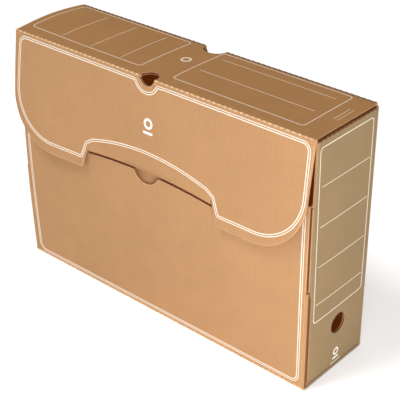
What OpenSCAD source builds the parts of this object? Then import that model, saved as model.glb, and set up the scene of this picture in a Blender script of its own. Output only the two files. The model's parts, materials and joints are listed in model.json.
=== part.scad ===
// Lidded document box folded from one blank of corrugated board.
// X runs along the length, the closing flap faces -Y, the lid folds up from the back edge.
// The origin is the bottom centre of the closed box with its flap.

/* [Box] */
// Outside length of the box
box_w = 390; // [360:1:420]
// Outside depth of the box, from front wall to back wall
box_d = 98; // [90:1:120]
// Outside height of the closed box
box_h = 275; // [265:1:290]
// Thickness of the corrugated board
board = 3; // [2.5:0.1:3.2]

/* [Front wall] */
// Height of the front wall's free top edge
front_wall_h = 208; // [200:1:212]
// Height of the lower lip of the slit that takes the tongue
slit_z = 166; // [160:1:166]
// Height of the slit's opening
slit_open = 9; // [9:0.5:12]
// Radius of the thumb notch below the slit
thumb_notch_r = 18; // [14:1:22]
// How far the thumb notch dips below the slit
thumb_notch_drop = 10; // [8:1:14]
// Offset of the thumb notch and of the crease's finger hole from the middle of the box
finger_x = -4.5; // [-8:0.5:8]

/* [Closing flap] */
// Length of the flap, from the crease to the tips of its lobes
flap_len = 121.5; // [118:0.5:123]
// Angle at which the flap springs out from the front wall
flap_lean = 5.6; // [5.2:0.1:6]
// Radius of each lobe's outer corner
lobe_r = 60; // [40:1:64]
// Width of the tongue where it leaves the flap
tongue_w = 168; // [150:2:172]
// Distance from the crease to the tongue's root
tongue_root = 94; // [93:0.5:94.5]
// How far the tongue reaches down inside the front wall
tongue_reach = 42; // [30:1:50]

/* [Finger holes] */
// Radius of the round hole in each end panel
end_hole_r = 11.5; // [9:0.5:14]
// Height of the centre of that hole
end_hole_z = 54; // [45:1:70]
// Distance of that centre behind the middle of the end panel
end_hole_back = 3.5; // [0:0.5:6]
// Radius of the hole through the lid's front crease
crease_hole_r = 10; // [9:0.5:14]
// Distance of that hole's centre behind the crease
crease_hole_back = 2.5; // [2:0.5:5]
// Radius of the bite at the lid's rear crease
rear_bite_r = 14; // [10:0.5:16]

/* [Inner flaps] */
// Length of each dust flap under the lid
dust_len = 82; // [60:1:100]
// Length of each base flap over the bottom panel
base_len = 70; // [50:1:90]
// Height at which the corner flange gives way to the lock tab
corner_split_z = 115.5; // [100:0.5:130]
// Width of each lock tab behind the front wall
tab_len = 38; // [25:1:45]
// Width of each corner flange inside the end panel
flange_len = 28; // [20:1:30]

/* [Hidden] */
$fn = 96;

kraft = [0.78, 0.60, 0.42];
kraft_dark = [0.62, 0.46, 0.30];
crease_kraft = [0.84, 0.68, 0.50];

// Gap between boards that lie on each other
slack = 0.3;
// Half the board, which is also the radius of a crease bead
half = board / 2;
// Distance from a lid or flap crease's axis to the panels it joins
setback = 1.8;
// Thickness of the web that joins a crease bead to its panel
web = 1;
// An extra length that lets a cut run clear of the board
over = 1;

// How far the lobes' tips stand out in front of the front wall
flap_out = flap_len * sin(flap_lean) + half * cos(flap_lean) - half;
y_back = (box_d + flap_out) / 2;
y_front = y_back - box_d;
y_mid = (y_front + y_back) / 2;
// Inner faces of the walls
x_in = box_w / 2 - board;
y_front_in = y_front + board;
y_back_in = y_back - board;

// Axes of the lid's two creases
crease_z = box_h - half;
rear_axis_y = y_back - half;
front_axis_y = y_front + half;
wall_top = crease_z - setback;
lid_half_w = box_w / 2 - 1;

// The dust flaps lie just under the lid and fold about their lower edge
dust_z = box_h - 2 * board - 0.4;
dust_front_y = y_front_in + 1;
dust_taper = 8;
dust_clear_y = y_front_in + board + 1.5;

// The base flaps lie on the bottom panel
base_z = board + 0.2;
base_top = base_z + board;

// The front wall's side edge, and the end panel's front edge, where the other board dives behind
dog_leg = board + slack;
front_edge_x = x_in - dog_leg - 0.1;
end_edge_y = y_front_in + dog_leg + 0.1;
// How far the end panel's front edge slants back above the front wall
end_taper = 1;
tab_z = [corner_split_z + 1.5, front_wall_h - 2];
flange_z = [base_top + slack, corner_split_z - 1.5];

// The flap's outline: half widths at the crease and at the lobes
flap_half_top = lid_half_w;
flap_half_low = lid_half_w - 2;
lobe_spread = 7;

// ---- Orientation helpers ----

// Board standing across Y, drawn as (x, z), with its front face at y
module across_y(y) {
    translate([0, y + board, 0]) rotate([90, 0, 0]) linear_extrude(board) children();
}

// Board standing across X, drawn as (y, z), with its left face at x
module across_x(x) {
    translate([x, 0, 0]) rotate([90, 0, 90]) linear_extrude(board) children();
}

// Board lying flat, drawn as (x, y), with its lower face at z
module flat_at(z) {
    translate([0, 0, z]) linear_extrude(board) children();
}

// The left side is the right side's mirror image
module left() {
    mirror([1, 0, 0]) children();
}

// Round rod along X between two places
module rod_x(x0, x1, y, z, r) {
    translate([x0, y, z]) rotate([0, 90, 0]) cylinder(r = r, h = x1 - x0);
}

// Quarter round of the board's thickness, filling the outside of a right-angled fold.
// It is drawn about the fold's inner corner, in the quadrant that starts at angle turn.
module fold_fill(turn) {
    rotate(turn) intersection() {
        circle(r = board);
        square(board + over);
    }
}

// ---- Walls ----

module back_wall() {
    color(kraft) across_y(y_back_in) difference() {
        translate([-x_in, board]) square([2 * x_in, wall_top - board]);
        translate([0, box_h]) circle(r = rear_bite_r);
    }
}

module bottom_panel() {
    color(kraft) flat_at(0)
        translate([0.5 - box_w / 2, y_front_in]) square([box_w - 1, y_back_in - y_front_in]);
}

// The front wall stops short of the top, where documents are lifted over it
module front_wall() {
    color(kraft) across_y(y_front) difference() {
        union() {
            translate([-x_in, board]) square([2 * x_in, corner_split_z - board]);
            translate([-front_edge_x, board]) square([2 * front_edge_x, front_wall_h - board]);
        }
        tongue_slit();
    }
}

// Slit with a thumb notch in its lower lip
module tongue_slit() {
    translate([-tongue_w / 2, slit_z]) square([tongue_w, slit_open]);
    intersection() {
        translate([finger_x, slit_z + thumb_notch_r - thumb_notch_drop]) circle(r = thumb_notch_r);
        translate([-tongue_w / 2, 0]) square([tongue_w, slit_z + over]);
    }
}

module right_end_panel() {
    color(kraft_dark) across_x(x_in) difference() {
        polygon([
            [end_edge_y, base_top], [y_back_in, base_top], [y_back_in, dust_z],
            [y_front_in + end_taper, dust_z], [y_front_in, front_wall_h - 0.5],
            [y_front_in, corner_split_z],
            [end_edge_y, corner_split_z]
        ]);
        translate([y_mid + end_hole_back, end_hole_z]) circle(r = end_hole_r);
    }
}

module left_end_panel() {
    left() right_end_panel();
}

// ---- Interlocking corners ----

// Tab of the end panel that dives behind the front wall's edge
module right_lock_tab() {
    color(kraft_dark) translate([0, 0, tab_z[0]]) linear_extrude(tab_z[1] - tab_z[0]) polygon([
        [x_in, y_front], [x_in, y_front_in], [x_in - dog_leg, y_front_in + dog_leg],
        [x_in - tab_len, y_front_in + dog_leg], [x_in - tab_len, y_front_in + slack],
        [x_in - dog_leg, y_front_in + slack]
    ]);
}

module left_lock_tab() {
    left() right_lock_tab();
}

// Flange of the front wall that dives inside the end panel's edge
module right_corner_flange() {
    height = flange_z[1] - flange_z[0];
    color(kraft) translate([0, 0, flange_z[0]]) linear_extrude(height) polygon([
        [box_w / 2, y_front_in], [x_in, y_front_in], [x_in - dog_leg, y_front_in + dog_leg],
        [x_in - dog_leg, y_front_in + flange_len], [x_in - slack, y_front_in + flange_len],
        [x_in - slack, y_front_in + dog_leg]
    ]);
}

module left_corner_flange() {
    left() right_corner_flange();
}

// ---- Inner flaps ----

module right_base_flap() {
    taper = 10;
    color(kraft_dark) flat_at(base_z) polygon([
        [x_in, end_edge_y], [x_in, y_back_in - slack],
        [x_in - base_len, y_back_in - taper], [x_in - base_len, end_edge_y + taper]
    ]);
}

module left_base_flap() {
    left() right_base_flap();
}

// The dust flap narrows past its crease, so that it can swing down past the lock tab
module right_dust_flap() {
    x_root = x_in - 0.1;
    color(kraft_dark) flat_at(dust_z) polygon([
        [x_root, dust_front_y], [x_root, y_back_in - over],
        [x_in - dust_taper, y_back_in - over], [x_in - dust_len, y_back_in - 2 * dust_taper],
        [x_in - dust_len, dust_clear_y + dust_taper], [x_in - dust_taper, dust_clear_y],
    ]);
}

module left_dust_flap() {
    left() right_dust_flap();
}

// ---- Lid, closing flap and tongue ----

module lid_panel() {
    y0 = front_axis_y + setback;
    y1 = rear_axis_y - setback;
    color(kraft) flat_at(box_h - board) difference() {
        translate([-lid_half_w, y0]) square([2 * lid_half_w, y1 - y0]);
        translate([finger_x, front_axis_y + crease_hole_back]) circle(r = crease_hole_r);
        translate([0, y_back]) circle(r = rear_bite_r);
    }
}

// Places a board that is drawn as (x, distance down from the front crease) in the leaning flap
module in_flap() {
    translate([0, front_axis_y, crease_z]) rotate([-90 - flap_lean, 0, 0])
        translate([0, 0, -half]) linear_extrude(board) children();
}

// Two lobes with a recess between them, where the tongue begins
module closure_flap() {
    lobe_y = flap_len - lobe_r;
    lobe_x = flap_half_low - lobe_r;
    color(kraft) in_flap() difference() {
        union() {
            polygon([
                [-flap_half_top, setback], [flap_half_top, setback],
                [flap_half_low, lobe_y], [-flap_half_low, lobe_y]
            ]);
            for (side = [-1, 1]) translate([side * lobe_x, lobe_y]) circle(r = lobe_r);
            translate([-lobe_x, lobe_y - over]) square([2 * lobe_x, lobe_r + over]);
        }
        polygon([
            [-tongue_w / 2, tongue_root], [tongue_w / 2, tongue_root],
            [tongue_w / 2 + lobe_spread, flap_len + over], [-tongue_w / 2 - lobe_spread, flap_len + over]
        ]);
        translate([finger_x, -crease_hole_back]) circle(r = crease_hole_r);
    }
}

// The tongue bends from the flap, through the slit, down the inside of the front wall
module closure_tongue() {
    // Middle of the board at the tongue's root
    root_y = front_axis_y - tongue_root * sin(flap_lean);
    root_z = crease_z - tongue_root * cos(flap_lean);
    // Middle of the board inside the front wall
    inner_y = y_front_in + slack + half;
    bend_z = root_z - (inner_y - root_y);
    // A board that runs at 45 degrees is this far each way from its middle, measured upright
    rise = half * sqrt(2);
    margin = 3;
    color(kraft) translate([-tongue_w / 2 + margin, 0, 0])
        rotate([90, 0, 90]) linear_extrude(tongue_w - 2 * margin) polygon([
            [root_y - half, root_z - 0.4], [root_y + half, root_z - 0.4],
            [root_y + half, root_z - half + rise], [inner_y + half, bend_z - half + rise],
            [inner_y + half, bend_z - tongue_reach], [inner_y - half, bend_z - tongue_reach],
            [inner_y - half, bend_z + half - rise], [root_y - half, root_z + half - rise]
        ]);
}

// ---- Creases that move ----

// Each lid crease is a round bead on its axis, with a web that joins it to one panel
module rear_lid_crease() {
    gap = sqrt(pow(rear_bite_r, 2) - pow(half, 2)) + 0.2;
    color(crease_kraft) for (span = [[-x_in, -gap], [gap, x_in]]) {
        rod_x(span[0], span[1], rear_axis_y, crease_z, half);
        translate([span[0], rear_axis_y - web / 2, wall_top])
            cube([span[1] - span[0], web, setback]);
    }
}

module front_lid_crease() {
    gap = crease_hole_r;
    color(crease_kraft) for (span = [[-lid_half_w, finger_x - gap], [finger_x + gap, lid_half_w]]) {
        rod_x(span[0], span[1], front_axis_y, crease_z, half);
        translate([span[0], front_axis_y, crease_z - web / 2])
            cube([span[1] - span[0], setback, web]);
    }
}

module right_dust_crease() {
    depth = y_back_in - over - dust_front_y;
    color(crease_kraft) translate([x_in, y_back_in - over, dust_z])
        rotate([90, 0, 0]) linear_extrude(depth) fold_fill(0);
}

module left_dust_crease() {
    left() right_dust_crease();
}

// ---- Creases that stay folded ----

// Lower front and back edges, where the main strip of the blank turns under the box
module front_bottom_crease() {
    color(crease_kraft) translate([0.5 - box_w / 2, y_front_in, board])
        rotate([90, 0, 90]) linear_extrude(box_w - 1) fold_fill(180);
}

module back_bottom_crease() {
    color(crease_kraft) translate([0.5 - box_w / 2, y_back_in, board])
        rotate([90, 0, 90]) linear_extrude(box_w - 1) fold_fill(270);
}

// Upright folds: the end panel turns from the back wall, and the corner boards from their walls
module right_back_crease() {
    color(crease_kraft) translate([x_in, y_back_in, board])
        linear_extrude(dust_z - board) fold_fill(0);
}

module left_back_crease() {
    left() right_back_crease();
}

module right_tab_crease() {
    color(crease_kraft) translate([x_in, y_front_in, tab_z[0]])
        linear_extrude(tab_z[1] - tab_z[0]) fold_fill(270);
}

module left_tab_crease() {
    left() right_tab_crease();
}

module right_flange_crease() {
    color(crease_kraft) translate([x_in, y_front_in, board])
        linear_extrude(flange_z[1] - board) fold_fill(270);
}

module left_flange_crease() {
    left() right_flange_crease();
}

module right_base_crease() {
    depth = y_back_in - slack - end_edge_y;
    color(crease_kraft) translate([x_in, y_back_in - slack, base_top])
        rotate([90, 0, 0]) linear_extrude(depth) fold_fill(270);
}

module left_base_crease() {
    left() right_base_crease();
}

back_wall();
bottom_panel();
front_wall();
right_end_panel();
left_end_panel();
right_lock_tab();
left_lock_tab();
right_corner_flange();
left_corner_flange();
right_base_flap();
left_base_flap();
right_dust_flap();
left_dust_flap();
lid_panel();
closure_flap();
closure_tongue();
rear_lid_crease();
front_lid_crease();
right_dust_crease();
left_dust_crease();
front_bottom_crease();
back_bottom_crease();
right_back_crease();
left_back_crease();
right_tab_crease();
left_tab_crease();
right_flange_crease();
left_flange_crease();
right_base_crease();
left_base_crease();
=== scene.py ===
import json
import math
import random

import bmesh
import bpy
import numpy as np
from mathutils import Matrix, Vector
from mathutils.geometry import delaunay_2d_cdt

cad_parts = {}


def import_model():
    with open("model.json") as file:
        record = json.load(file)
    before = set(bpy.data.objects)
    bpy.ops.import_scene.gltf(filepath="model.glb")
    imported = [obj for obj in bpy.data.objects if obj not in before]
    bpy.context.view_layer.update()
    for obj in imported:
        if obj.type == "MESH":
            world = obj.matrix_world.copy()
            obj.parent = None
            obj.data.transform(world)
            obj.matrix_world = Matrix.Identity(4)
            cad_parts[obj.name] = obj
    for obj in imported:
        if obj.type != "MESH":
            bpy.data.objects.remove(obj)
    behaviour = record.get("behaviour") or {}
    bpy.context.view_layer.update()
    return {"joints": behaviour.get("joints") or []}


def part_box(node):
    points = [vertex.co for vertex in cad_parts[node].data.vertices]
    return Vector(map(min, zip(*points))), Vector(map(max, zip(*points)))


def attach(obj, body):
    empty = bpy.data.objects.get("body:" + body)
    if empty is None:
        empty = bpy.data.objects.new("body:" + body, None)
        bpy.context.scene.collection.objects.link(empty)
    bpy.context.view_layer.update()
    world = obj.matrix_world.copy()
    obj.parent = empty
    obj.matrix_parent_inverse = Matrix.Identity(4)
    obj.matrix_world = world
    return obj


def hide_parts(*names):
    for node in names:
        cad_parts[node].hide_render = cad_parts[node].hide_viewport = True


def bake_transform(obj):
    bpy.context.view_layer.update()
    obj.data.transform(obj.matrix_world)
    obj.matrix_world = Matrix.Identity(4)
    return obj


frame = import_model()

# Lengths are in millimetres, in the CAD frame, and become metres in the meshes. The floor, the lights and
# the camera are in metres.
MM = 0.001


# ---- Places taken from the CAD frame ----

def span(node):
    """Lowest and highest corner of a CAD node, in millimetres."""
    low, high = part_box(node)
    return [c / MM for c in low], [c / MM for c in high]


def hinge_place(name):
    """A joint's place, in millimetres."""
    joint = next(j for j in frame["joints"] if j["name"] == name)
    return [c / MM for c in joint["pos_m"]]


WALL_LOW, WALL_HIGH = span("front_wall")
BACK_LOW, BACK_HIGH = span("back_wall")
END_LOW, END_HIGH = span("right_end_panel")
LID_LOW, LID_HIGH = span("lid_panel")
TAB_LOW, TAB_HIGH = span("right_lock_tab")
FLANGE_LOW, FLANGE_HIGH = span("right_corner_flange")
DUST_LOW, DUST_HIGH = span("right_dust_flap")
BASE_LOW, BASE_HIGH = span("right_base_flap")

SIDES = ((1, "right"), (-1, "left"))
BOARD = WALL_HIGH[1] - WALL_LOW[1]
HALF = BOARD / 2
Y_FRONT = WALL_LOW[1]
Y_FRONT_IN = WALL_HIGH[1]
Y_BACK = BACK_HIGH[1]
Y_BACK_IN = BACK_LOW[1]
Y_MID = (Y_FRONT + Y_BACK) / 2
X_IN = END_LOW[0]
X_OUT = END_HIGH[0]
BOTTOM_HALF = X_OUT - 0.5
TOP = LID_HIGH[2]
LID_HALF = LID_HIGH[0]
FRONT_TOP = WALL_HIGH[2]
END_TOP = END_HIGH[2]
BACK_TOP = BACK_HIGH[2]
SPLIT_Z = (TAB_LOW[2] + FLANGE_HIGH[2]) / 2
FRONT_AXIS = hinge_place("flap_hinge")
REAR_AXIS = hinge_place("lid_hinge")
SETBACK = LID_LOW[1] - FRONT_AXIS[1]

# The closing flap: the angle it leans out by, its length, its two lobes and the tongue between them
LEAN = math.radians(5.6)
FLAP_LEN = 121.5
LOBE_R = 60.0
LOBE_SPREAD = 7.0
LOBE_INSET = 2.0
TONGUE_HALF = 84.0
TONGUE_ROOT = 94.0
TONGUE_REACH = 58.0

# Corrugated board: the waves' pitch, the two liners, the waved sheet, and how far a cut edge is pressed in
PITCH = 6.5
LINER = 0.42
MEDIUM = 0.24
CRUSH = 0.28

# Finger holes: the ends' (y, z, radius), the front crease's, and the bite at the rear crease
END_HOLE = (Y_MID + 3.5, 54.0, 11.5)
FINGER_X = -4.5
CREASE_HOLE_R = 10.0
CREASE_HOLE_BACK = 2.5
REAR_BITE_R = 14.0

# The slit in the front wall: its arched lower lip, its opening, its offset and its thumb notch
SLIT_END_Z = 167.3
SLIT_RISE = 5.2
SLIT_HALF = TONGUE_HALF + 0.6
SLIT_OPEN = 11.0
SLIT_X = -2.5
NOTCH_R = 18.0
NOTCH_DEPTH = 11.0

# Upright front corners: where the front wall and the ends stop, and the jog of one board behind the other
TAB_EDGE = X_IN + 0.2
CORNER_EDGE_Y = Y_FRONT_IN + 2.5
DOG_LEG = 3.3
SLACK = 0.3

# How the folded board departs from flat
WALL_BULGE = 6.9
FLAP_CLEAR = 0.9
LEFT_SWAY, RIGHT_SWAY = 2.8, 0.3
SWAY_TOP = 240.0
BACK_SWELL = 0.48
END_SWELL = 0.7
LID_BOW = 0.9
LID_CROWN = 3.2
LEFT_LIFT, RIGHT_LIFT = 4.6, -0.9
FLAP_BELLY = 3.2


# ---- Small helpers ----

def metres(*place):
    return tuple(c * MM for c in place)


def smooth(value, start, end):
    """0 before start, 1 after end, with a soft turn at both."""
    t = np.clip((np.asarray(value, float) - start) / (end - start), 0, 1)
    return t * t * (3 - 2 * t)


def crossing_angle(reach, r):
    """The angle, in degrees, at which a circle crosses a line at this distance from its centre."""
    return math.degrees(math.asin(reach / r))


def arc(cx, cy, r, a0, a1, steps=16):
    """Points on an arc, from angle a0 to a1 in degrees."""
    return [
        (cx + r * math.cos(math.radians(a0 + (a1 - a0) * i / steps)),
         cy + r * math.sin(math.radians(a0 + (a1 - a0) * i / steps)))
        for i in range(steps + 1)
    ]


def rounded(points, radii, closed=True, steps=7):
    """A polygon or open line with its corners rounded."""
    out = []
    n = len(points)
    for i, p in enumerate(points):
        r = radii[i] if isinstance(radii, (list, tuple)) else radii
        if r <= 0 or (not closed and i in (0, n - 1)):
            out.append(tuple(p))
            continue
        here = Vector(p)
        before = (Vector(points[i - 1]) - here).normalized()
        after = (Vector(points[(i + 1) % n]) - here).normalized()
        angle = before.angle(after)
        back = r / math.tan(angle / 2)
        centre = here + (before + after).normalized() * (r / math.sin(angle / 2))
        start = here + before * back - centre
        end = here + after * back - centre
        turn = math.atan2(start.x * end.y - start.y * end.x, start.dot(end))
        for k in range(steps + 1):
            spin = Matrix.Rotation(turn * k / steps, 2)
            q = centre + spin @ start
            out.append((q.x, q.y))
    return out


def resample(loop, step, closed=True):
    """The same line with no two neighbours further apart than step."""
    out = []
    count = len(loop) if closed else len(loop) - 1
    for i in range(count):
        a = np.array(loop[i], float)
        b = np.array(loop[(i + 1) % len(loop)], float)
        length = np.linalg.norm(b - a)
        if length < 1e-6:
            continue
        parts = max(1, int(math.ceil(length / step)))
        out += [tuple(a + (b - a) * k / parts) for k in range(parts)]
    if not closed:
        out.append(tuple(loop[-1]))
    return out


def inside(points, loops):
    """Which points are inside the outline and outside its holes."""
    x, y = points[:, 0], points[:, 1]
    odd = np.zeros(len(points), bool)
    for loop in loops:
        a = np.array(loop, float)
        b = np.roll(a, -1, axis=0)
        for (x0, y0), (x1, y1) in zip(a, b):
            if y0 == y1:
                continue
            crosses = (y0 > y) != (y1 > y)
            odd ^= crosses & (x < (x1 - x0) * (y - y0) / (y1 - y0) + x0)
    return odd


# ---- Board: two liners and a waved sheet, laid on a curved middle surface ----

def placer(middle, side):
    """Turns (u, v, depth) into a place. Depth runs from 0 on the outer face to BOARD on the inner face."""
    def place(u, v, depth):
        u, v, depth = np.broadcast_arrays(*(np.asarray(a, float) for a in (u, v, depth)))
        step = 0.05
        du = middle(u + step, v) - middle(u - step, v)
        dv = middle(u, v + step) - middle(u, v - step)
        normal = np.cross(du, dv)
        normal /= np.linalg.norm(normal, axis=1)[:, None]
        return middle(u, v) + normal * (side * (HALF - depth))[:, None]
    return place


def border_line(loops, step):
    """The points of all the loops, cut into short steps, and the edges between them."""
    border, edges = [], []
    for loop in loops:
        ring = resample(loop, step)
        first = len(border)
        border += ring
        edges += [(first + i, first + (i + 1) % len(ring)) for i in range(len(ring))]
    return np.array(border), edges


def rim_points(loops, step, gap):
    """Points beside the loops, at a fixed gap on both sides."""
    found = []
    for loop in loops:
        ring = np.array(resample(loop, step))
        along = np.roll(ring, -1, axis=0) - np.roll(ring, 1, axis=0)
        along /= np.linalg.norm(along, axis=1)[:, None]
        across = np.stack([-along[:, 1], along[:, 0]], 1) * gap
        found += [ring - across, ring + across]
    return np.concatenate(found)


def grid_points(border, step):
    low, high = border.min(0), border.max(0)
    return np.array([
        (x, y)
        for x in np.arange(low[0] + step / 2, high[0], step)
        for y in np.arange(low[1] + step / 2, high[1], step)
    ])


def clear_of(points, border, loops, gap):
    """The points that are inside the outline and further than gap from its border."""
    kept = points[inside(points, loops)]
    nearest = np.linalg.norm(kept[:, None] - border[None], axis=2).min(1)
    return kept[nearest > gap]


def open_sides(triangles):
    """The triangles' sides that no other triangle shares, each in its triangle's direction."""
    sides = {}
    for a, b, c in triangles:
        for side in ((a, b), (b, c), (c, a)):
            if side[::-1] in sides:
                del sides[side[::-1]]
            else:
                sides[side] = True
    return list(sides)


def lattice(loops, step, rim_gap=1.3):
    """Triangles over an outline with holes: points, triangles, border sides, and what is on the border."""
    border, edges = border_line(loops, step * 0.6)
    rim = clear_of(rim_points(loops, step * 0.6, rim_gap), border, loops, rim_gap * 0.8)
    grid = clear_of(grid_points(border, step), border, loops, step * 0.45)
    points = np.concatenate([border, rim, grid])
    made = delaunay_2d_cdt([Vector(p) for p in points], edges, [], 1, 1e-5)
    flat = np.array([(p.x, p.y) for p in made[0]])
    triangles = np.array([f for f in made[2] if len(f) == 3])
    triangles = triangles[inside(flat[triangles].mean(1), loops)]
    sides = open_sides(triangles)
    on_border = np.zeros(len(flat), bool)
    on_border[np.array(sides).ravel()] = True
    return flat, triangles, sides, on_border


def add_object(name, data):
    made = bpy.data.objects.new(name, data)
    bpy.context.scene.collection.objects.link(made)
    return made


class Build:
    """Collects the points and faces of one piece."""

    def __init__(self):
        self.points = []
        self.faces = []
        self.marks = []
        self.rims = []
        self.count = 0

    def add(self, points, faces, mark, rim=None):
        """mark is the faces' place among the materials. rim is 0 at a worn edge and 1 elsewhere."""
        self.points.append(np.asarray(points, float))
        self.faces += [tuple(int(i) + self.count for i in f) for f in faces]
        self.marks += [mark] * len(faces) if isinstance(mark, int) else list(mark)
        self.rims.append(np.ones(len(points)) if rim is None else np.asarray(rim, float))
        self.count += len(points)

    def mesh(self, name, materials, smooth_angle):
        mesh = bpy.data.meshes.new(name)
        points = np.concatenate(self.points) * MM
        mesh.from_pydata([tuple(p) for p in points], [], self.faces)
        for material in materials:
            mesh.materials.append(material)
        mesh.polygons.foreach_set("material_index", self.marks)
        rim = mesh.attributes.new("rim", "FLOAT", "POINT")
        rim.data.foreach_set("value", np.concatenate(self.rims).astype(np.float32))
        work = bmesh.new()
        work.from_mesh(mesh)
        bmesh.ops.recalc_face_normals(work, faces=work.faces)
        work.to_mesh(mesh)
        work.free()
        mesh.shade_smooth()
        mesh.set_sharp_from_angle(angle=math.radians(smooth_angle))
        return mesh

    def finish(self, name, materials, body, nodes=(), slot=None, smooth_angle=35):
        """Makes the object, puts it on its body's empty and hides the CAD nodes it replaces. slot is not
        used.
        """
        made = add_object(name, self.mesh(name, materials, smooth_angle))
        if body:
            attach(made, body)
        if nodes:
            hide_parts(*nodes)
        return made


def sheet_faces(triangles, sides, n):
    """Faces of a closed sheet: the triangles, the same ones turned over below, and the border's walls."""
    faces = [tuple(t) for t in triangles]
    faces += [(t[2] + n, t[1] + n, t[0] + n) for t in triangles]
    return faces + [(b, a, a + n, b + n) for a, b in sides]


def add_slab(build, net, place, depth0, depth1, crush, keep, mark=0):
    """One liner: a closed sheet between two depths, pressed in along its cut edges."""
    flat, triangles, sides, on_border = net
    pressed = on_border & ~keep(*flat.T)
    layers = [place(*flat.T, depth + pressed * crush) for depth in (depth0, depth1)]
    marks = [mark] * (2 * len(triangles)) + [1] * len(sides)
    rim = np.where(pressed, 0.0, 1.0)
    faces = sheet_faces(triangles, sides, len(flat))
    build.add(np.concatenate(layers), faces, marks, np.concatenate([rim, rim]))


def crossings(u, loops):
    """Where the line at u crosses the outline and its holes, from low to high."""
    found = []
    for loop in loops:
        a = np.array(loop, float)
        b = np.roll(a, -1, axis=0)
        hit = (a[:, 0] > u) != (b[:, 0] > u)
        t = (u - a[hit, 0]) / (b[hit, 0] - a[hit, 0])
        found += list(a[hit, 1] + t * (b[hit, 1] - a[hit, 1]))
    return sorted(found)


def add_strip(build, columns, place, rows):
    """One closed waved strip through neighbouring columns, each (u, v0, v1)."""
    u, v0, v1 = np.array(columns).T
    t = np.linspace(0, 1, rows + 1)
    grid_u = np.repeat(u[:, None], rows + 1, 1).ravel()
    grid_v = (v0[:, None] + (v1 - v0)[:, None] * t[None]).ravel()
    swing = HALF - LINER - MEDIUM / 2
    wave = HALF + swing * np.sin(2 * math.pi * grid_u / PITCH)
    layers = [place(grid_u, grid_v, wave + out) for out in (-MEDIUM / 2, MEDIUM / 2)]
    n = len(grid_u)
    at = np.arange(n).reshape(len(u), rows + 1)
    quads = np.stack([c.ravel() for c in (at[:-1, :-1], at[1:, :-1], at[1:, 1:], at[:-1, 1:])], 1)
    ring = [*at[0], *at[1:, -1], *at[-1, -2::-1], *at[-2:0:-1, 0]]
    faces = [tuple(q) for q in quads] + [tuple(q[::-1] + n) for q in quads]
    faces += [(a, b, b + n, a + n) for a, b in zip(ring, ring[1:] + ring[:1])]
    build.add(np.concatenate(layers), faces, 2)


def wave_runs(loops, low, high):
    """Splits the columns u from low to high where their number of strips changes: [(columns, strips)]."""
    end_gap, shortest = 0.25, 0.6
    runs = []
    run, kind = [], 0
    for u in np.linspace(low, high, int((high - low) / (PITCH / 8)) + 1):
        cuts = crossings(u + 1e-4, loops)
        pairs = [(a + end_gap, b - end_gap) for a, b in zip(cuts[::2], cuts[1::2])]
        pairs = [p for p in pairs if p[1] - p[0] > shortest]
        if len(pairs) != kind:
            runs.append((run, kind))
            run, kind = [], len(pairs)
        run.append((u, pairs))
    runs.append((run, kind))
    return [r for r in runs if len(r[0]) > 1]


def add_medium(build, loops, place, row_step):
    """The waved sheet between the liners. Its waves run along v."""
    inset = 0.5
    across = np.concatenate([np.array(loop) for loop in loops])[:, 0]
    for columns, count in wave_runs(loops, across.min() + inset, across.max() - inset):
        for k in range(count):
            strip = [(u, *pairs[k]) for u, pairs in columns]
            tall = max(c[2] - c[1] for c in strip)
            add_strip(build, strip, place, max(1, int(round(tall / row_step))))


def add_rim(build, a, b, loops, place):
    """Fills the gap between the liners along one step of a cut edge, just inside it."""
    du, dv = b[0] - a[0], b[1] - a[1]
    length = math.hypot(du, dv)
    nx, ny = -dv / length, du / length
    probe = np.array([[(a[0] + b[0]) / 2 + nx * 0.1, (a[1] + b[1]) / 2 + ny * 0.1]])
    if not inside(probe, loops)[0]:
        nx, ny = -nx, -ny
    corners = [
        (p[0] + nx * gap, p[1] + ny * gap, depth)
        for depth in (LINER + 0.1, BOARD - LINER - 0.1)
        for gap in (0.12, 0.5)
        for p in (a, b)
    ]
    faces = [(0, 1, 3, 2), (4, 6, 7, 5), (0, 4, 5, 1), (2, 3, 7, 6), (0, 2, 6, 4), (1, 5, 7, 3)]
    build.add(place(*np.array(corners).T), faces, 1, np.full(8, 0.4))


def add_rims(build, loops, place, keep):
    """Closes the cut edges that run along the waves, where the knife presses the liners together."""
    for loop in loops:
        ring = resample(loop, 8)
        whole = keep(*np.array(ring).T)
        for i, a in enumerate(ring):
            j = (i + 1) % len(ring)
            b = ring[j]
            along_waves = abs(b[0] - a[0]) <= 0.45 * abs(b[1] - a[1])
            if along_waves and not (whole[i] and whole[j]):
                add_rim(build, a, b, loops, place)


def nowhere(u, v):
    return np.zeros(np.shape(u), bool)


def everywhere(u, v):
    return np.ones(np.shape(u), bool)


def board(name, loops, middle, side, body, slot, step=9.0, row_step=400.0, keep=nowhere, rimless=None,
          inner_loops=None, edge="cut_edge", skin=None):
    """A panel of corrugated board that stands for the CAD node of the same name.

    keep says where the border isn't a cut edge, rimless where the cut leaves the waves open, and
    inner_loops is a smaller outline for the waved sheet and the inner liner. skin is the outer liner's
    material, where it isn't the slot's."""
    place = placer(middle, side)
    net = lattice(loops, step)
    inner_net = lattice(inner_loops, step) if inner_loops else net
    inner_loops = inner_loops or loops
    build = Build()
    add_slab(build, net, place, 0.0, LINER, CRUSH, keep)
    add_slab(build, inner_net, place, BOARD - LINER, BOARD, -CRUSH, keep, 3)
    add_medium(build, inner_loops, place, row_step)
    add_rims(build, inner_loops, place, rimless or keep)
    # The inner liner (kraft_inside) and the waved sheet (medium) both carry a faint painted glow.
    materials = [MATERIALS[key] for key in (skin or slot, edge, "medium", "kraft_inside")]
    return build.finish(name, materials, body, (name,), slot)


# ---- Creases ----

def tube_faces(count, m):
    """Faces of a closed tube of count + 1 rings of m points, with both ends shut."""
    faces = [
        (i * m + k, i * m + (k + 1) % m, (i + 1) * m + (k + 1) % m, (i + 1) * m + k)
        for i in range(count)
        for k in range(m)
    ]
    return faces + [tuple(range(m)), tuple(count * m + k for k in reversed(range(m)))]


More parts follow.
